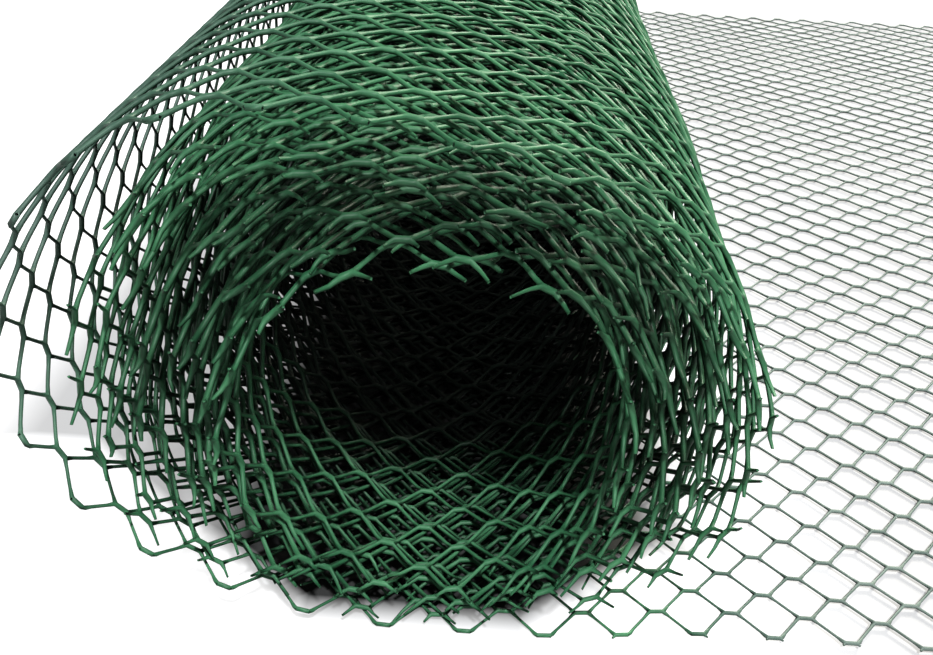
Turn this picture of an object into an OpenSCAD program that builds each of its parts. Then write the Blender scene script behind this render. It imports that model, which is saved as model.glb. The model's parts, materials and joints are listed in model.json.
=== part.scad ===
// Roll of green plastic mesh, lying on its side on a level floor.
// It is one sheet of mesh. Its free end lies flat, runs under the roll, rises as one
// loose turn at the side, and goes on over the top into the wound turns around the bore.
// The roll's axis runs along Y, and +Z is up. The origin is on the underside of the
// sheet, below the middle of the bore.

/* [Roll] */
// Length of the roll along its axis, which is the width of the mesh
roll_len = 1000; // [300:10:2000]
// Radius of the open bore
bore_r = 69; // [40:1:150]
// Number of wound turns, not counting the loose one
turns = 8; // [4:1:12]

/* [Winding] */
// Step from turn to turn at the sides of the roll, where the turns stand loose
side_step = 6.7; // [4:0.1:9]
// Step from turn to turn over the top of the roll
top_step = 5.1; // [3.6:0.1:7]
// Step from turn to turn underneath, where the weight presses the turns together
base_step = 1.7; // [0.8:0.1:3]
// Thickness of the mesh sheet
sheet_t = 2.6; // [1.5:0.1:3.4]
// How far the underside of the roll sinks into the sheet that it lies on
base_sink = 0.6; // [0.4:0.1:1]
// How far the outermost wound turn bulges out at the upper left, where the roll is slack
slack = 14; // [0:1:30]
// Number of turns, counted inwards, over which that bulge dies out
slack_turns = 6; // [1:0.5:8]

/* [Loose turn] */
// Angle in degrees at which the loose turn meets the roll, where 90 is the roll's top
leave_angle = 70; // [55:1:90]
// Height of the loose turn above the outermost wound turn
loose_rise = 11; // [0:1:40]
// Distance that the loose turn stands out from the side of the roll
loose_gap = 25; // [10:1:80]
// Slope in degrees at which the loose turn comes down before it bends to the floor
loose_slope = 33; // [20:1:50]
// Radius of the bend with which the loose turn runs out onto the floor
foot_r = 185; // [60:5:250]

/* [Free end] */
// Length of flat mesh that lies beyond the side of the roll
free_len = 442; // [50:1:900]

/* [Ends] */
// Depth to which the gaps between the turns are open at both ends of the roll
gap_depth = 30; // [5:1:60]
// Half of the arc in degrees, at the bottom, in which the turns are pressed shut
shut_angle = 40; // [25:1:80]

/* [Hidden] */
mesh_green = [0.16, 0.42, 0.27];
// Largest share of a step that the sheet fills, so that a gap stays open
max_fill = 0.7;
// Part of a turn over which the turns bulge out
slack_span = 0.32;
// Angle between the points of the roll's outline, of a gap and of a loose bend
outline_step = 5;
gap_step = 14;
bend_step = 7;
// Number of points along the curve from the loose turn down to the roll
over_points = 8;
// Overrun of a cut past the face that it opens
over = 1;

// Height of the bore's axis, with the free end and the pressed turns below it
axis_z = base_r(wound(-90, 0)) + sheet_t - base_sink;
// Half width of the wound roll at its right and left sides
roll_right = side_r(wound(0, 0));
roll_left = side_r(wound(-180, 0));
// Heights of the loose turn's outer face at its top and of its underside at the slope
loose_top = axis_z + top_r(turns) + loose_rise;
foot_rise = foot_r * (1 - cos(loose_slope));
// Outer radius of the loose turn and the centres of its two bends
loose_r = (loose_top - foot_rise) / (1 + cos(loose_slope));
loose_c = [loose_r - roll_left - loose_gap, loose_top - loose_r];
foot_c = [loose_c.x - (loose_r - foot_r) * sin(loose_slope), foot_r];
free_x = roll_right + free_len;

// Reach of the outer face of the wound sheet, t turns from its inner end: to the
// sides, to the top and to the bottom of the bore's axis
function side_r(t) = bore_r + sheet_t + side_step * t;
function top_r(t) = bore_r + sheet_t + top_step * t;
function base_r(t) = bore_r + sheet_t + base_step * t;

// Turns wound at an angle a, counted back from where the loose turn meets the roll
function wound(a, back) = turns - back + (a - leave_angle) / 360;

// Height of the bulge, t turns from the sheet's inner end
function stand_off(t) =
    let (
        inward = cos(90 * min(1, max(0, turns - 1 - floor(t)) / slack_turns)),
        around = sin(180 * min(1, (t - floor(t)) / slack_span))
    )
    slack * pow(inward * around, 2);

// Point of the wound sheet's outer face: half ellipses that grow with each turn. under
// is the part of a step by which the point lies below that face.
function turn_point(a, t, under = 0) = [
    (side_r(t - under) + stand_off(t)) * cos(a),
    axis_z + ((sin(a) > 0 ? top_r(t - under) : base_r(t - under)) + stand_off(t)) * sin(a)
];

// Share of the step between two turns that the sheet fills, at an angle a
function fill(a) = min(
    max_fill,
    sheet_t / norm([side_step * cos(a), (sin(a) > 0 ? top_step : base_step) * sin(a)])
);

// Angles from a0 to a1 in equal steps of about the given size
function angles(a0, a1, step) = let (n = ceil(abs(a1 - a0) / step))
    [for (i = [0:n]) a0 + (a1 - a0) * i / n];

// Points of an arc after its first one, which the stretch before the arc ends on
function bend(c, r, a0, a1) = [
    for (a = angles(a0, a1, bend_step)) if (a != a0) c + r * [cos(a), sin(a)]
];

// Cubic curve through p0 and p3 with the control points p1 and p2
function curve(p0, p1, p2, p3) = [
    for (i = [0:over_points])
        let (q = i / over_points)
        pow(1 - q, 3) * p0 + 3 * q * pow(1 - q, 2) * p1 + 3 * q * q * (1 - q) * p2 + pow(q, 3) * p3
];

function reverse(list) = [for (i = [len(list) - 1:-1:0]) list[i]];

// Extrudes a section in X and Z along the roll, between two places on its axis
module along_roll(y0, y1) {
    translate([0, y1, 0]) rotate([90, 0, 0]) linear_extrude(y1 - y0) children();
}

// The wound turns as one solid around the bore
module wound_turns() {
    along_roll(-roll_len / 2, roll_len / 2)
        polygon([
            for (a = angles(leave_angle - 360, leave_angle, outline_step)) turn_point(a, wound(a, 0))
        ]);
}

module bore() {
    translate([0, 0, axis_z])
        rotate([90, 0, 0])
            cylinder(r = bore_r, h = roll_len + 2 * over, center = true, $fn = 96);
}

// Curve from the wound roll up to the top of the loose turn, at a distance in from the
// sheet's outer face. It leaves the roll along its surface and arrives level.
function over_face(inset) =
    let (
        reach = [side_r(turns) - inset, top_r(turns) - inset],
        along = [reach.x * sin(leave_angle), -reach.y * cos(leave_angle)],
        p0 = [reach.x * cos(leave_angle), axis_z + reach.y * sin(leave_angle)],
        p3 = [loose_c.x, loose_top - inset],
        third = norm(p3 - p0) / 3
    )
    curve(p0, p0 - third * along / norm(along), p3 + [third, 0], p3);

// The loose turn and the free end, from where they meet the roll to the sheet's edge
function band_face(inset) = concat(
    over_face(inset),
    bend(loose_c, loose_r - inset, 90, 270 - loose_slope),
    bend(foot_c, foot_r - inset, 270 - loose_slope, 270),
    [[free_x, inset]]
);

module loose_band() {
    along_roll(-roll_len / 2, roll_len / 2)
        polygon(concat(band_face(0), reverse(band_face(sheet_t))));
}

// Section of the gap outside one wound turn, between two angles
module gap_section(back, a0, a1) {
    face = angles(a0, a1, gap_step);
    polygon(concat(
        [for (a = face) turn_point(a, wound(a, back))],
        [for (a = reverse(face)) turn_point(a, wound(a, back) + 1, fill(a))]
    ));
}

// All gaps between wound turns, open from the pressed arc at the bottom on one side to
// that on the other. The outermost ends where the loose turn meets the roll.
module gap_sections() {
    for (back = [1:ceil(turns)]) {
        first = max(shut_angle - 90, leave_angle - 360 * (turns - back));
        last = back == 1 ? leave_angle - gap_step : 270 - shut_angle;
        if (last - first > gap_step) gap_section(back, first, last);
    }
}

module end_gaps() {
    along_roll(-roll_len / 2 - over, -roll_len / 2 + gap_depth) gap_sections();
    along_roll(roll_len / 2 - gap_depth, roll_len / 2 + over) gap_sections();
}

module mesh_roll() {
    color(mesh_green) difference() {
        union() {
            wound_turns();
            loose_band();
        }
        bore();
        end_gaps();
    }
}

mesh_roll();
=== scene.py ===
"""Looks of a roll of green plastic mesh, lying on a white floor.

The roll is one sheet of extruded mesh. Its path in the X-Z section is worked out from
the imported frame: the flat free end, the bend up from the floor, the loose turn, and the
wound turns around the bore. The net of joints and strands is laid along that path.

A place on the sheet is u, its length along the path from the cut at the free end, and v,
its place across the sheet, which is Y where the net is even.
"""
import json
import math

import bpy
import numpy as np
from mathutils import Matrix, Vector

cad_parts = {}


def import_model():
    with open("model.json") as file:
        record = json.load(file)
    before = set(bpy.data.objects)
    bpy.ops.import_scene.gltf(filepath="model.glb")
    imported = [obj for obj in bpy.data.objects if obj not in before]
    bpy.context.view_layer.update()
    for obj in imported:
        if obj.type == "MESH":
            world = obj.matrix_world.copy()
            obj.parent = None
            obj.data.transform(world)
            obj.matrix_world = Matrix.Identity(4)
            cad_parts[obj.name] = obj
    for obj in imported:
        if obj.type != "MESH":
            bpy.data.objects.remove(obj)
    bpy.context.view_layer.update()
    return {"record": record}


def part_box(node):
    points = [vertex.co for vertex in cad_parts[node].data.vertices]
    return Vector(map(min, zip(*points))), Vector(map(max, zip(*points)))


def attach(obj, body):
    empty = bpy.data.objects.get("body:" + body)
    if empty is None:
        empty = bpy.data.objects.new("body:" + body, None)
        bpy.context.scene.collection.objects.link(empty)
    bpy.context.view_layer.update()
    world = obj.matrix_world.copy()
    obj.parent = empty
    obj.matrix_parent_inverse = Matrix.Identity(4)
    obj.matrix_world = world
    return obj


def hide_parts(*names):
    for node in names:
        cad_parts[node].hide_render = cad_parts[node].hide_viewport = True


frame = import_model()
rng = np.random.default_rng(7)

MM = 0.001
NODE = "mesh_roll"

# ---------------------------------------------------------------- sizes
# From the frame: bore, length of the roll, reach of the free end and of the loose turn
bore = next(m for m in frame["record"]["mounts"] if m["name"] == "bore")
BORE_R = bore["dims"]["r_mm"] * MM
AXIS_Z = bore["pos_m"][2]
LOW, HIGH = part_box(NODE)
FREE_X = HIGH.x
LOOSE_X = LOW.x
LOOSE_TOP = HIGH.z

# Winding, as in the solid: steps from turn to turn at the sides, the top and the bottom
TURNS = 8
SIDE_STEP = 6.7 * MM
TOP_STEP = 5.1 * MM
BASE_STEP = 1.7 * MM
SHEET_T = 2.6 * MM
LEAVE_ANGLE = math.radians(70)
# Bulge at the upper left, the turns over which it dies out, and its part of a turn
SLACK = 14 * MM
SLACK_TURNS = 6
SLACK_SPAN = 0.32
# Slope of the loose turn before it bends to the floor, and the radius of that bend
LOOSE_SLOPE = math.radians(33)
FOOT_R = 185 * MM
# Points on the flat stretch, on a bend, on the curve over the roll and on a wound turn
FLAT_STEPS = 600
BEND_STEPS = 200
OVER_STEPS = 100
TURN_STEPS = 600

# Net: half periods along the sheet and across it, and the first row and column
HALF_U = 15 * MM
HALF_V = 11.6 * MM
ROWS = 86
FIRST_ROW = LOW.y + 1.5 * MM
FIRST_COLUMN = 5.7 * MM

# Joints: half length of the bar, half distance between its strands, thickness and the
# depth of the fork between the strands
JOINT_HALF = 2.4 * MM
JOINT_SPLAY = 0.36 * MM
JOINT_T = 2.15 * MM
CROTCH = 1.5 * MM
# Strands: width, thickness, and the share of their slope that is curved
STRAND_W = 1.55 * MM
STRAND_T = 1.85 * MM
BEND = 0.22
# Size of the net's section as a share: on the floor, and what the rise from the floor
# and the wound turns add to it
FLOOR_SIZE = 0.84
RISE_GROWTH = 0.1
RISE_RUN = (-50 * MM, 150 * MM)
WOUND_GROWTH = 0.2
WOUND_RUN = (0, 2.4)

# How the net lies. A run is where a change along the sheet starts and ends, counted from
# the bend up from the floor or from where the wound turns start.
# Lean of the columns on the floor, and their stretch where the net bends up
LEAN = 0.018
LEAN_RUN = (0, -300 * MM)
DRAWN = 12.7 * MM
DRAWN_RUN = (-80 * MM, 190 * MM)
# Distance of the net's first row from the cut: on the floor, more where its first rows
# are pushed together, and in the wound turns, where it swings
FLOOR_SETBACK = 3.3 * MM
FLOOR_RUN = (-35 * MM, -125 * MM)
EDGE_SETBACK = 3.3 * MM
EDGE_ZONE = 60 * MM
WOUND_SETBACK = 8.5 * MM
SETBACK_SWING = 3 * MM
SWING_PERIOD = 410 * MM
SETBACK_RUN = (-60 * MM, 140 * MM)
# Ripples of the wound turns as shares of the room between turns: long ones, short ones
# and what the short ones gain at the cut edges
LONG_RIPPLE = 0.25
SHORT_RIPPLE = 0.12
EDGE_RIPPLE = 0.14
LOOSEN_RUN = (0, 100 * MM)
# Ripples of the sheet on the floor, the space kept over the floor, and the skew of the
# joints on the floor and what the wound turns add to it
FLOOR_RIPPLE = 0.5 * MM
FLATTEN_RUN = (0, -100 * MM)
FLOOR_SPACE = 0.2 * MM
FLOOR_SKEW = 0.4 * MM
WOUND_SKEW = 1.8 * MM

# Cut edges: share of the wound turns' columns whose joints there are lost, the space kept
# inside the roll's length, and the stretch over which stubs give way to whiskers
LOST_JOINTS = 0.45
CUT_SPACE = 0.4 * MM
FRAY_RUN = (-50 * MM, 50 * MM)
# Least and greatest length of cut strands: of any, as a share of a whole strand, of the
# whiskers, as a share of what fits, and of the stubs, as a share of a whole strand
CUT_LENGTH = (0.02, 0.95)
WHISKER_LENGTH = (0.45, 1)
STUB_LENGTH = (0.02, 0.14)
# Size of a cut strand as a share, and the bend of a whisker, half way and at its end
CUT_TAPER = (0.9, 0.7)
CUT_BEND = (0.5 * MM, 2.2 * MM)


# ---------------------------------------------------------------- path of the sheet
def smooth(x):
    """Smooth step from 0 to 1 as x goes from 0 to 1."""
    x = np.clip(x, 0, 1)
    return x * x * (3 - 2 * x)


def blend(x, start, end):
    """Smooth step from 0 to 1 as x goes from start to end, either way."""
    return smooth((x - start) / (end - start))


def wound_point(back):
    """Centre line of the wound sheet, 'back' turns after it leaves the loose turn."""
    angle = LEAVE_ANGLE - 2 * math.pi * back
    t = TURNS - back
    within = t - np.floor(t)
    inward = np.clip((TURNS - 1 - np.floor(t)) / SLACK_TURNS, 0, 1)
    share = np.cos(math.pi / 2 * inward) ** 2
    slack = SLACK * share * np.sin(math.pi * np.minimum(1, within / SLACK_SPAN)) ** 2
    inner = BORE_R + SHEET_T / 2 + slack
    step = np.where(np.sin(angle) > 0, TOP_STEP, BASE_STEP)
    x = (inner + SIDE_STEP * t) * np.cos(angle)
    z = AXIS_Z + (inner + step * t) * np.sin(angle)
    return np.stack([x, z], -1)


def arc(centre, radius, start, end):
    a = np.linspace(start, end, BEND_STEPS)
    return centre + radius * np.stack([np.cos(a), np.sin(a)], -1)


def bezier(p0, t0, t1, p1):
    """Curve from p0 to p1 that leaves and arrives along the directions t0 and t1."""
    reach = np.linalg.norm(p1 - p0) / 3
    q = np.linspace(0, 1, OVER_STEPS)[:, None]
    a, b = p0 + t0 * reach, p1 - t1 * reach
    return (1 - q) ** 3 * p0 + 3 * q * (1 - q) ** 2 * a + 3 * q * q * (1 - q) * b + q ** 3 * p1


def sheet_path():
    """Centre line from the free end to the inner end, its length at each point, and the
    lengths at which the bend from the floor and the wound turns start."""
    half = SHEET_T / 2
    low = 1.5 * math.pi
    rise = FOOT_R * (1 - math.cos(LOOSE_SLOPE))
    loose_r = (LOOSE_TOP - rise) / (1 + math.cos(LOOSE_SLOPE))
    loose_c = np.array([LOOSE_X + loose_r, LOOSE_TOP - loose_r])
    foot_c = np.array([loose_c[0] - (loose_r - FOOT_R) * math.sin(LOOSE_SLOPE), FOOT_R])

    free = np.linspace([FREE_X, half], [foot_c[0], half], FLAT_STEPS)
    foot = arc(foot_c, FOOT_R - half, low, low - LOOSE_SLOPE)
    loose = arc(loose_c, loose_r - half, low - LOOSE_SLOPE, math.pi / 2)
    wound = wound_point(np.linspace(0, TURNS, TURNS * TURN_STEPS))
    leave = wound[1] - wound[0]
    over = bezier(loose[-1], np.array([1, 0]), leave / np.linalg.norm(leave), wound[0])
    points = np.concatenate([free[:-1], foot[:-1], loose[:-1], over[:-1], wound])
    steps = np.linalg.norm(np.diff(points, axis=0), axis=1)
    length = np.concatenate([[0], np.cumsum(steps)])
    return points, length, length[len(free) - 1], length[-len(wound)]


PATH, PATH_LEN, FOOT_START, WOUND_START = sheet_path()
TANGENT = np.gradient(PATH, PATH_LEN, axis=0)
TANGENT /= np.linalg.norm(TANGENT, axis=1)[:, None]
# Room that each turn has before it meets the next one
LEVEL_STEP = np.where(TANGENT[:, 0] > 0, TOP_STEP, BASE_STEP)
ROOM = np.hypot(SIDE_STEP * TANGENT[:, 1], LEVEL_STEP * TANGENT[:, 0])


# ---------------------------------------------------------------- how the net lies
def wave_set(count, shortest, longest):
    """Plane waves of random length, direction and phase over the sheet."""
    k = 2 * math.pi / rng.uniform(shortest, longest, count)
    way, phase = rng.uniform(0, 2 * math.pi, (2, count))
    return np.stack([k * np.cos(way), k * np.sin(way), phase], -1)


LONG_WAVES = wave_set(7, 160 * MM, 600 * MM)
SHORT_WAVES = wave_set(9, 45 * MM, 120 * MM)
SKEW_WAVES = wave_set(6, 90 * MM, 300 * MM)
FLOOR_WAVES = wave_set(6, 120 * MM, 400 * MM)


def ripple(waves, u, v):
    return sum(np.sin(a * u + b * v + c) for a, b, c in waves) / math.sqrt(len(waves))


def drawn(u):
    """How far the net is drawn out along the sheet, where that bends up from the floor."""
    return DRAWN * blend(u - FOOT_START, *DRAWN_RUN)


def setback(u, v):
    """Shift of the net away from the cut edge of the sheet. On the floor the first rows
    are pushed together a little."""
    floor_shift = FLOOR_SETBACK + EDGE_SETBACK * blend(v, LOW.y + EDGE_ZONE, LOW.y)
    swing = SETBACK_SWING * np.sin(2 * math.pi * (u - WOUND_START) / SWING_PERIOD)
    on_floor = blend(u - FOOT_START, *FLOOR_RUN)
    wound = blend(u - WOUND_START, *SETBACK_RUN)
    return floor_shift * on_floor + (WOUND_SETBACK + swing) * wound


def thickness(u):
    """Size of the net's section as a share: drawn thin on the floor, fuller inside."""
    rise = RISE_GROWTH * blend(u - FOOT_START, *RISE_RUN)
    return FLOOR_SIZE + rise + WOUND_GROWTH * blend(u - WOUND_START, *WOUND_RUN)


def place(u, v, w):
    """Sheet coordinates (along, across, outwards) to points in the row frame."""
    s = u + LEAN * (v - LOW.y) * blend(u - FOOT_START, *LEAN_RUN) + drawn(u)
    wound = blend(s - WOUND_START, *LOOSEN_RUN)
    ends = blend(abs(v), HIGH.y - EDGE_ZONE, HIGH.y)
    room = np.interp(s, PATH_LEN, ROOM) * wound
    short = (SHORT_RIPPLE + EDGE_RIPPLE * ends) * ripple(SHORT_WAVES, u, v)
    w = w + room * (LONG_RIPPLE * ripple(LONG_WAVES, u, v) + short)
    pressed = FLOOR_RIPPLE * (1 + ripple(FLOOR_WAVES, u, v).clip(-1, 1))
    w = w - blend(u - FOOT_START, *FLATTEN_RUN) * pressed
    skew = FLOOR_SKEW + WOUND_SKEW * wound
    s = s + skew * ripple(SKEW_WAVES, v, u)
    y = v + setback(u, v) + skew * ripple(SKEW_WAVES, u, v) * (1 - ends)
    x, z = (np.interp(s, PATH_LEN, PATH[:, k]) for k in (0, 1))
    dx, dz = (np.interp(s, PATH_LEN, TANGENT[:, k]) for k in (0, 1))
    z = (z + dx * w).clip(LOW.z + FLOOR_SPACE)
    return np.stack([x - dz * w, y.clip(LOW.y, HIGH.y), z], -1)


# ---------------------------------------------------------------- net of joints and strands
# Corners of a joint's ring, half across and half through, and the strand ring's corners
JOINT_SIDE = JOINT_SPLAY + STRAND_W / 2
JOINT_RING = np.array([
    [JOINT_SPLAY, JOINT_T / 2], [JOINT_SIDE, 0], [JOINT_SPLAY, -JOINT_T / 2],
    [-JOINT_SPLAY, -JOINT_T / 2], [-JOINT_SIDE, 0], [-JOINT_SPLAY, JOINT_T / 2],
])
STRAND_RING = [(0, STRAND_T / 2), (STRAND_W / 2, 0), (0, -STRAND_T / 2), (-STRAND_W / 2, 0)]
# Vertices of a joint: a ring and the bottom of the fork at each end
RING_VERTS = 6
END_VERTS = RING_VERTS + 1
JOINT_VERTS = 2 * END_VERTS
JOINT_TRIS = ([0, 5, 6], [3, 2, 6], [7, 13, 12], [10, 13, 9])
# Vertices of a joint that a strand's first ring uses, by end of the joint and side
FORK = {
    (-1, 1): [0, 1, 2, 6], (-1, -1): [5, 4, 3, 6],
    (1, 1): [7, 8, 9, 13], (1, -1): [12, 11, 10, 13],
}
# Order in which a strand's last ring meets those vertices
MIRRORED = [0, 3, 2, 1]


def joints(ju, jv):
    """Vertices and faces of the joints: a short bar with a fork at each end."""
    parts = []
    thick = thickness(ju)[:, None]
    across, through = thick * JOINT_RING[:, 0], thick * JOINT_RING[:, 1]
    for end in (-1, 1):
        u = ju[:, None] + end * JOINT_HALF + 0 * across
        parts.append(np.stack([u, jv[:, None] + across, through], -1))
        parts.append(np.stack([ju + end * (JOINT_HALF + CROTCH), jv, 0 * ju], -1)[:, None])
    base = np.arange(len(ju))[:, None] * JOINT_VERTS
    ring = [(k, (k + 1) % RING_VERTS) for k in range(RING_VERTS)]
    quads = [base + np.array([a, b, END_VERTS + b, END_VERTS + a]) for a, b in ring]
    tris = [base + np.array(corners) for corners in JOINT_TRIS]
    return np.concatenate(parts, 1).reshape(-1, 3), quads, tris


def strand_ring(ju, jv, side, end, q):
    """Ring of the strand that leaves a joint's end towards the row on one side, at the
    share q of its way to the next joint."""
    run, rise = HALF_U - 2 * JOINT_HALF, HALF_V - 2 * JOINT_SPLAY
    u = ju + end * (JOINT_HALF + run * q)
    v = jv + side * (JOINT_SPLAY + rise * (BEND * smooth(q) + (1 - BEND) * q))
    slope = rise * (6 * BEND * q * (1 - q) + 1 - BEND)
    size = np.hypot(run, slope)
    nu, nv = -slope / size * end, run / size * side
    thick = thickness(ju)
    corners = [(a * thick, b * thick) for a, b in STRAND_RING]
    return np.stack([np.stack([u + nu * a, v + nv * a, b], -1) for a, b in corners], 1)


def tube(chain, flip):
    """Quads between neighbouring rings of four."""
    faces = []
    for a, b in zip(chain[:-1], chain[1:]):
        for k in range(4):
            m = (k + 1) % 4
            quad = np.stack([a[:, k], a[:, m], b[:, m], b[:, k]], -1)
            faces.append(quad if flip else quad[:, ::-1])
    return faces


def frayed(ju):
    """Share from 0 to 1 by which the strands are cut as whiskers: in the wound turns."""
    return blend(ju - WOUND_START, *FRAY_RUN)


def cut_share(ju, jv, side, seam):
    """Share of a strand that is left where its far joint is missing: half at a seam
    between two pieces, short stubs on the open sheet, whiskers in the wound turns."""
    shift = setback(ju, jv)
    room = np.where(side < 0, jv + shift - LOW.y, HIGH.y - jv - shift) - CUT_SPACE
    most = ((room - JOINT_SIDE) / HALF_V).clip(*CUT_LENGTH)
    whisker = most * rng.uniform(*WHISKER_LENGTH, len(ju))
    stub = np.minimum(most, rng.uniform(*STUB_LENGTH, len(ju)))
    return np.where(seam, 0.5, stub + (whisker - stub) * frayed(ju))


def cut_rings(ju, jv, side, end, seam):
    """The rings half way and at the end of strands whose far joint is missing. Where that
    is no seam they are tapered, and whiskers are bent in or out."""
    share = cut_share(ju, jv, side, seam)
    rings = np.stack([strand_ring(ju, jv, side, end, share * q) for q in (0.5, 1)], 1)
    middle = rings.mean(2, keepdims=True)
    taper = np.where(seam[:, None], 1, CUT_TAPER)[:, :, None, None]
    rings = middle + (rings - middle) * taper
    bent = rng.normal(0, 1, len(ju)) * share * ~seam * frayed(ju)
    rings[..., 2] += np.multiply.outer(bent, CUT_BEND)[..., None]
    return rings


def net(first, last, bends):
    """Vertices, quads, triangles and end caps of the net between two columns.

    'bends' are the places along a strand, from 0 to 1, that have a ring of their own.
    """
    # Columns ii and rows jj of the joints, which lie at ju along the sheet, jv across it
    ii, jj = np.meshgrid(np.arange(first, last), np.arange(ROWS), indexing="ij")
    lost = LOST[ii] & (jj % (ROWS - 1) == 0)
    keep = ((ii + jj) % 2 == 0) & ~lost
    ii, jj = ii[keep], jj[keep]
    # Number of the joint in each column and row, with an empty column and row all round
    index = -np.ones((last - first + 2, ROWS + 2), int)
    index[ii - first + 1, jj + 1] = np.arange(len(ii))
    ju, jv = FIRST_COLUMN + ii * HALF_U, FIRST_ROW + jj * HALF_V
    verts, quads, tris = joints(ju, jv)
    parts, caps, start = [verts], [], len(verts)

    def ring_of(joint, corners):
        """Vertex numbers of a ring on some of the joints."""
        return joint[:, None] * JOINT_VERTS + np.array(corners)

    def add(rings):
        """Adds rings of shape (strands, rings, 4, 3) and returns their vertex numbers."""
        nonlocal start
        numbers = start + np.arange(rings.size // 3).reshape(rings.shape[:3])
        parts.append(rings.reshape(-1, 3))
        start += rings.size // 3
        return [numbers[:, k] for k in range(rings.shape[1])]

    for side in (1, -1):
        ahead = index[ii - first + 2, jj + 1 + side]
        whole = np.nonzero(ahead >= 0)[0]
        chain = [ring_of(whole, FORK[1, side])]
        if bends:
            between = [strand_ring(ju[whole], jv[whole], side, 1, q) for q in bends]
            chain += add(np.stack(between, 1))
        chain.append(ring_of(ahead[whole], FORK[-1, -side])[:, MIRRORED])
        quads += tube(chain, side > 0)
        for end in (1, -1):
            cut = np.nonzero(index[ii - first + 1 + end, jj + 1 + side] < 0)[0]
            column_past, row_past = ii[cut] + end, jj[cut] + side
            seam = (column_past < first) | (column_past >= last)
            seam &= (0 <= row_past) & (row_past < ROWS)
            seam &= (0 <= column_past) & (column_past < COLUMNS)
            rings = cut_rings(ju[cut], jv[cut], side, end, seam)
            chain = [ring_of(cut, FORK[end, side])] + add(rings)
            flip = side * end > 0
            quads += tube(chain, flip)
            caps.append(chain[-1][:, ::-1] if flip else chain[-1])
    return [np.concatenate(part) for part in (parts, quads, tris, caps)]


def net_object(name, first, last, bends, material):
    """Object of the net between two columns, laid along the sheet's path."""
    sheet, *faces = net(first, last, bends)
    points = place(*sheet.T)
    mesh = bpy.data.meshes.new(name)
    loops = np.concatenate([face.ravel() for face in faces])
    sizes = np.concatenate([np.full(len(face), face.shape[1]) for face in faces])
    starts = np.cumsum(sizes) - sizes
    mesh.vertices.add(len(points))
    mesh.vertices.foreach_set("co", points.astype(np.float32).ravel())
    mesh.loops.add(len(loops))
    mesh.loops.foreach_set("vertex_index", loops.astype(np.int32))
    mesh.polygons.add(len(sizes))
    mesh.polygons.foreach_set("loop_start", starts.astype(np.int32))
    mesh.polygons.foreach_set("use_smooth", np.ones(len(sizes), bool))
    mesh.update(calc_edges=True)
    mesh.validate()
    mesh.materials.append(material)
    obj = bpy.data.objects.new(name, mesh)
    bpy.context.scene.collection.objects.link(obj)
    return obj


# ---------------------------------------------------------------- shader nodes
class Shading:
    """Shader nodes of a material or a world, with a short call for each kind used."""

    def __init__(self, owner):
        owner.use_nodes = True
        self.nodes = owner.node_tree.nodes
        self.links = owner.node_tree.links

    def coords(self):
        return self.nodes.new("ShaderNodeTexCoord").outputs["Object"]

    def split(self, vector):
        """The outputs X, Y and Z of a vector."""
        node = self.nodes.new("ShaderNodeSeparateXYZ")
        self.links.new(vector, node.inputs[0])
        return node.outputs

    def seen(self):
        """Factor that is 1 where the camera looks straight at a surface, 0 for light."""
        return self.nodes.new("ShaderNodeLightPath").outputs["Is Camera Ray"]

    def math(self, operation, first, *others):
        """Two or more outputs joined by an operation, or one output changed by it."""
        for other in others or (None,):
            node = self.nodes.new("ShaderNodeMath")
            node.operation = operation
            self.links.new(first, node.inputs[0])
            if other is not None:
                self.links.new(other, node.inputs[1])
            first = node.outputs["Value"]
        return first

    def span(self, value, source, target=(0, 1)):
        """Value mapped from one range to another and kept within the second."""
        node = self.nodes.new("ShaderNodeMapRange")
        names = ("From Min", "From Max", "To Min", "To Max")
        for name, number in zip(names, (*source, *target)):
            node.inputs[name].default_value = number
        self.links.new(value, node.inputs["Value"])
        return node.outputs["Result"]

    def noise(self, coords, scale, detail):
        node = self.nodes.new("ShaderNodeTexNoise")
        node.inputs["Scale"].default_value = scale
        node.inputs["Detail"].default_value = detail
        self.links.new(coords, node.inputs["Vector"])
        return node.outputs["Fac"]

    def ramp(self, factor, span, colors):
        """Colour between two, as a factor goes over a span."""
        node = self.nodes.new("ShaderNodeValToRGB")
        self.links.new(factor, node.inputs["Fac"])
        for element, position, color in zip(node.color_ramp.elements, span, colors):
            element.position = position
            element.color = (*color, 1)
        return node.outputs["Color"]

    def mix(self, factor, first, second):
        """Mix of two colours, each an output or a constant."""
        node = self.nodes.new("ShaderNodeMix")
        node.data_type = "RGBA"
        self.links.new(factor, node.inputs["Factor"])
        for name, color in (("A", first), ("B", second)):
            if isinstance(color, tuple):
                node.inputs[name].default_value = (*color, 1)
            else:
                self.links.new(color, node.inputs[name])
        return node.outputs["Result"]


# ---------------------------------------------------------------- material
# Colour of the painted shade between the turns, deep in the bore and on the cut ends over it,
# and the darker and lighter pigment: of the wound turns, of the greyer loose turn and of the
# paler free end
PAINTED_SHADE = (0.0003, 0.004, 0.0015)
WOUND_GREENS = ((0.024, 0.13, 0.055), (0.08, 0.28, 0.13))
LOOSE_GREENS = ((0.04, 0.09, 0.065), (0.1, 0.18, 0.14))
# The free end's paler, greyer greens stand in for glare off the white floor: painted light
FREE_GLARE_GREENS = ((0.14, 0.19, 0.165), (0.26, 0.33, 0.29))
# Pigment's noise over which the colour goes from darker to lighter
PIGMENT_SPAN = (0.3, 0.7)
# Distances from the bore's axis at which the colour goes over to the loose turn's and to
# the free end's
LOOSE_FADE = (120 * MM, 150 * MM)
FREE_FADE = (145 * MM, 200 * MM)
# Reach and samples of the painted shade between turns, and its open share from fully shaded to
# unshaded
SHADE_REACH = 300 * MM
SHADE_SAMPLES = 8
SHADE_SPAN = (0.18, 0.39)
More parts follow.
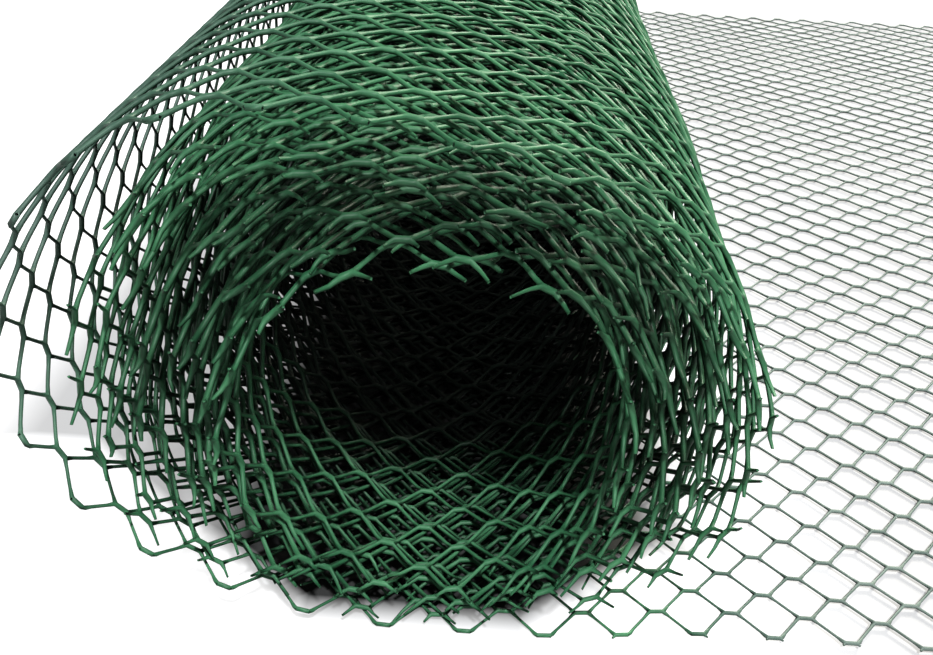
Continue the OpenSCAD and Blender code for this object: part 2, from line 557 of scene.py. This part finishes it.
# Deep in the bore, where its shadow is painted in: depth from the roll's ends, distance out
# from the bore's wall, and the share of unshaded pigment that is left
DEEP_SPAN = (110 * MM, 70 * MM)
INNER_SPAN = (12 * MM, 22 * MM)
DEEP_UNSHADED = 0.03
# Cut ends over the bore, where their shade is painted in: depth from the roll's ends,
# distance out from the bore's wall where they start, distance from its axis where they end,
# height over its axis, and the share of unshaded pigment that is left
RIM_DEPTH = (60 * MM, 20 * MM)
RIM_START = (4 * MM, 10 * MM)
RIM_END = (100 * MM, 118 * MM)
RIM_HEIGHT = (-40 * MM, 0)
RIM_UNSHADED = 0.5
# Roughness of the plastic, and what dust adds to it where the painted shade by place is deep
GLOSS = (0.42, 0.62)
DUST_SPAN = (0, 0.3)
DUST_ROUGHNESS = 0.5
SPECULAR = 0.4
# Scale and detail of the noise in the pigment, in the gloss and in the draw marks, and
# how deep and strong those are
PIGMENT_NOISE = (45, 4)
GLOSS_NOISE = (260, 2)
MARK_NOISE = (900, 3)
MARK_DEPTH = 0.15 * MM
MARK_STRENGTH = 0.5


def offset(span, base, sign=1):
    """A span of distances from a base, outwards or inwards."""
    return tuple(base + sign * distance for distance in span)


def unshaded_share(tree, coords, radius):
    """Share of pigment left unshaded by place, where shade is painted in: almost none on the
    innermost turns deep in the bore, and less at the cut ends of the inner turns over the bore."""
    where = tree.split(coords)
    depth = tree.math("ABSOLUTE", where["Y"])
    # The bore's shadow, painted into the innermost turns deep inside
    deep = tree.span(depth, offset(DEEP_SPAN, HIGH.y, -1), (1, 0))
    inner = tree.span(radius, offset(INNER_SPAN, BORE_R), (1, 0))
    bore_unshaded = tree.span(tree.math("MULTIPLY", deep, inner), (0, 1), (1, DEEP_UNSHADED))
    # Painted shade on the cut ends of the inner turns over the bore
    ends = tree.span(depth, offset(RIM_DEPTH, HIGH.y, -1))
    started = tree.span(radius, offset(RIM_START, BORE_R))
    not_ended = tree.span(radius, RIM_END, (1, 0))
    above = tree.span(where["Z"], offset(RIM_HEIGHT, AXIS_Z))
    rim = tree.math("MULTIPLY", ends, started, not_ended, above)
    return tree.math("MULTIPLY", bore_unshaded, tree.span(rim, (0, 1), (1, RIM_UNSHADED)))


def axis_distance(tree, coords):
    """Distance from the bore's axis."""
    where = tree.split(coords)
    section = tree.nodes.new("ShaderNodeCombineXYZ")
    for name in ("X", "Z"):
        tree.links.new(where[name], section.inputs[name])
    radius = tree.nodes.new("ShaderNodeVectorMath")
    radius.operation = "DISTANCE"
    tree.links.new(section.outputs[0], radius.inputs[0])
    radius.inputs[1].default_value = (0, 0, AXIS_Z)
    return radius.outputs["Value"]


def green_plastic():
    """Extruded green polyethylene: uneven pigment, waxy gloss and fine draw marks. Its pigment
    is greyer on the loose turn, and paler on the free end, where that stands in for glare off
    the white floor. Shade between the turns and in the bore is painted dark into its colour,
    and dust deep in the bore and at the cut ends over it makes it rougher."""
    mat = bpy.data.materials.new("green_plastic")
    tree = Shading(mat)
    shader = tree.nodes["Principled BSDF"].inputs
    shader["Specular IOR Level"].default_value = SPECULAR
    coords = tree.coords()
    radius = axis_distance(tree, coords)

    # Painted shade: the colour goes dark where little of the surroundings is open, between the
    # turns and in the bore
    shade = tree.nodes.new("ShaderNodeAmbientOcclusion")
    shade.samples = SHADE_SAMPLES
    shade.inputs["Distance"].default_value = SHADE_REACH
    unshaded_by_place = unshaded_share(tree, coords, radius)
    unshaded = tree.math("MULTIPLY", tree.span(shade.outputs["AO"], SHADE_SPAN), unshaded_by_place)

    pigment = tree.noise(coords, *PIGMENT_NOISE)
    wound, loose, free = (
        tree.ramp(pigment, PIGMENT_SPAN, greens)
        for greens in (WOUND_GREENS, LOOSE_GREENS, FREE_GLARE_GREENS)
    )
    color = tree.mix(tree.span(radius, LOOSE_FADE), wound, loose)
    # Paler on the free end, as painted glare off the white floor
    color = tree.mix(tree.span(radius, FREE_FADE), color, free)
    # Where the unshaded share is low, the colour becomes the painted shade's
    tree.links.new(tree.mix(unshaded, PAINTED_SHADE, color), shader["Base Color"])

    gloss = tree.span(tree.noise(coords, *GLOSS_NOISE), (0, 1), GLOSS)
    dust = tree.span(unshaded_by_place, DUST_SPAN, (DUST_ROUGHNESS, 0))
    tree.links.new(tree.math("ADD", gloss, dust), shader["Roughness"])

    bump = tree.nodes.new("ShaderNodeBump")
    bump.inputs["Strength"].default_value = MARK_STRENGTH
    bump.inputs["Distance"].default_value = MARK_DEPTH
    tree.links.new(tree.noise(coords, *MARK_NOISE), bump.inputs["Height"])
    tree.links.new(bump.outputs["Normal"], shader["Normal"])
    return mat


# ---------------------------------------------------------------- stage
# Camera: its place, with the distance in front of the roll, its angles in degrees, and
# its lens and sensor in mm
CAMERA_X = 0.022
CAMERA_DISTANCE = 0.2686
CAMERA_HEIGHT = 0.3061
CAMERA_ANGLES = (58.388, -2.291, 3.102)
LENS = 38.58
SENSOR = 36
# Half width of the floor, and its roughness
FLOOR_HALF = 6
FLOOR_ROUGHNESS = 0.8
# Light of the white surroundings, and how much of the floor's colour is plain white for
# the camera, away from the free end and under it
WORLD_LIGHT = 0.08
FLOOR_GLOW = 0.9
FREE_GLOW = 0.36
# Colours of the floor in its painted shadow under the roll and beside it, and how clear of
# that painted shadow it is under the loose turn
SHADOW_PAINT = (0.03, 0.03, 0.03)
PALE = (0.4, 0.39, 0.405)
LOOSE_CLEAR = 0.5
# X over which the painted shadow under the roll ends at the right, goes over to that under
# the loose turn at the left, and ends there
SHADE_RIGHT = (88 * MM, 125 * MM)
SHADE_LEFT = (-75 * MM, -105 * MM)
SHADE_END = (-160 * MM, -230 * MM)
# Distance from the roll's ends over which the painted shadow ends, and how much sooner it
# does at both sides
SHADE_DEPTH = (16 * MM, 1 * MM)
LEFT_CORNER = (-45 * MM, -165 * MM)
LEFT_CUT = 100 * MM
RIGHT_CORNER = (40 * MM, 100 * MM)
RIGHT_CUT = 50 * MM
# X over which the glow under the free end starts, and how far out it fades at the front
# and at the other edges
FREE_START = (120 * MM, 200 * MM)
FRONT_FADE = 20 * MM
EDGE_FADE = 150 * MM


def camera():
    data = bpy.data.cameras.new("camera")
    data.sensor_width = SENSOR
    data.lens = LENS
    data.clip_start = 10 * MM
    obj = bpy.data.objects.new("camera", data)
    bpy.context.scene.collection.objects.link(obj)
    obj.location = (CAMERA_X, LOW.y - CAMERA_DISTANCE, CAMERA_HEIGHT)
    obj.rotation_euler = [math.radians(angle) for angle in CAMERA_ANGLES]
    bpy.context.scene.camera = obj


def out_of_painted_shadow(tree, where):
    """Share by which the floor is clear of the shadow painted under the roll and its loose
    turn, where so many layers of mesh lie over it."""
    depth = tree.math("ABSOLUTE", where["Y"])
    left_cut = tree.span(where["X"], LEFT_CORNER, (0, LEFT_CUT))
    right_cut = tree.span(where["X"], RIGHT_CORNER, (0, RIGHT_CUT))
    depth = tree.math("ADD", depth, left_cut, right_cut)
    beyond = tree.span(depth, offset(SHADE_DEPTH, HIGH.y, -1))
    left = tree.span(where["X"], SHADE_LEFT, (0, LOOSE_CLEAR))
    left_end = tree.span(where["X"], SHADE_END)
    right = tree.span(where["X"], SHADE_RIGHT)
    return tree.math("MAXIMUM", beyond, left, left_end, right)


def under_free_end(tree, where):
    """Share that is 1 under the free end and fades out around it."""
    return tree.math(
        "MULTIPLY",
        tree.span(where["X"], FREE_START),
        tree.span(where["Y"], (LOW.y - FRONT_FADE, LOW.y)),
        tree.span(where["Y"], (HIGH.y, HIGH.y + EDGE_FADE), (1, 0)),
        tree.span(where["X"], (FREE_X, FREE_X + EDGE_FADE), (1, 0)),
    )


def floor():
    """White floor. What the camera sees of it is partly plain white, so that it stays
    pale and its shadows stay soft, while its light on the roll is that of a white floor.
    Under the roll and its loose turn a shadow is painted in: a dark colour, and no plain white."""
    mat = bpy.data.materials.new("floor_white")
    tree = Shading(mat)
    shader = tree.nodes["Principled BSDF"].inputs
    shader["Roughness"].default_value = FLOOR_ROUGHNESS
    where = tree.split(tree.coords())
    # Painted shadow: under the roll the floor's colour goes dark and its plain white for the
    # camera goes
    clear = out_of_painted_shadow(tree, where)
    tree.links.new(tree.ramp(clear, (0, 1), (SHADOW_PAINT, PALE)), shader["Base Color"])
    glow = tree.span(under_free_end(tree, where), (0, 1), (FLOOR_GLOW, FREE_GLOW))
    shader["Emission Color"].default_value = (1, 1, 1, 1)
    tree.links.new(tree.math("MULTIPLY", glow, clear, tree.seen()), shader["Emission Strength"])

    mesh = bpy.data.meshes.new("floor")
    ways = ((-1, -1), (1, -1), (1, 1), (-1, 1))
    corners = [(x * FLOOR_HALF, y * FLOOR_HALF, 0) for x, y in ways]
    mesh.from_pydata(corners, [], [(0, 1, 2, 3)])
    mesh.materials.append(mat)
    obj = bpy.data.objects.new("floor", mesh)
    bpy.context.scene.collection.objects.link(obj)


def world():
    """White surroundings at full strength for the camera, and dim ones for the light."""
    data = bpy.data.worlds.new("world")
    bpy.context.scene.world = data
    tree = Shading(data)
    dim, bright = tree.nodes["Background"], tree.nodes.new("ShaderNodeBackground")
    for background, strength in ((dim, WORLD_LIGHT), (bright, 1)):
        background.inputs["Color"].default_value = (1, 1, 1, 1)
        background.inputs["Strength"].default_value = strength
    mix = tree.nodes.new("ShaderNodeMixShader")
    tree.links.new(tree.seen(), mix.inputs["Fac"])
    tree.links.new(dim.outputs["Background"], mix.inputs[1])
    tree.links.new(bright.outputs["Background"], mix.inputs[2])
    tree.links.new(mix.outputs["Shader"], tree.nodes["World Output"].inputs["Surface"])


def sun(name, strength, spread, tilt, turn, color):
    """Soft distant lamp. 'tilt' is its angle from straight above, 'turn' the side it
    comes from, counted from the front to the right, all in degrees."""
    data = bpy.data.lights.new(name, "SUN")
    data.energy = strength
    data.angle = math.radians(spread)
    data.color = color
    obj = bpy.data.objects.new(name, data)
    bpy.context.scene.collection.objects.link(obj)
    obj.rotation_euler = (math.radians(tilt), 0, math.radians(turn))


camera()
floor()
world()
sun("front", 3.3, 6, 27, 18, (0.96, 1, 1))
sun("back", 3.2, 14, 56, 150, (1, 0.98, 0.84))
bpy.context.scene.view_settings.view_transform = "Standard"

# ---------------------------------------------------------------- pieces
COLUMNS = int((PATH_LEN[-1] - DRAWN - FIRST_COLUMN - JOINT_HALF) / HALF_U) + 1
# Columns of the wound turns that have lost the joints at both cut edges
COLUMN_PLACES = FIRST_COLUMN + np.arange(COLUMNS) * HALF_U
LOST = (rng.random(COLUMNS) < LOST_JOINTS) & (COLUMN_PLACES > WOUND_START)
# Places of a strand's rings between its joints: on the open sheet, on the outer turns and
# the innermost one, and on the turns between those
CURVED = (0.25, 0.5, 0.75)
BENT = (0.25, 0.75)
STRAIGHT = ()
OUTER_TURNS = 3


def column(length):
    """First column of joints past a length along the path."""
    return math.ceil((length - drawn(length) - FIRST_COLUMN) / HALF_U)


def wound_length(back):
    """Length along the path at which 'back' wound turns lie behind."""
    count = TURNS * TURN_STEPS
    return float(np.interp(back, np.linspace(0, TURNS, count), PATH_LEN[-count:]))


green = green_plastic()
pieces = [
    net_object("mesh_free_end", 0, column(FOOT_START), CURVED, green),
    net_object("mesh_loose_turn", column(FOOT_START), column(WOUND_START), CURVED, green),
]
for k in range(TURNS):
    innermost = k == TURNS - 1
    bends = BENT if k < OUTER_TURNS or innermost else STRAIGHT
    last = COLUMNS if innermost else column(wound_length(k + 1))
    pieces.append(net_object(f"mesh_turn_{k + 1}", column(wound_length(k)), last, bends, green))
for piece in pieces:
    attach(piece, "root")
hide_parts(NODE)
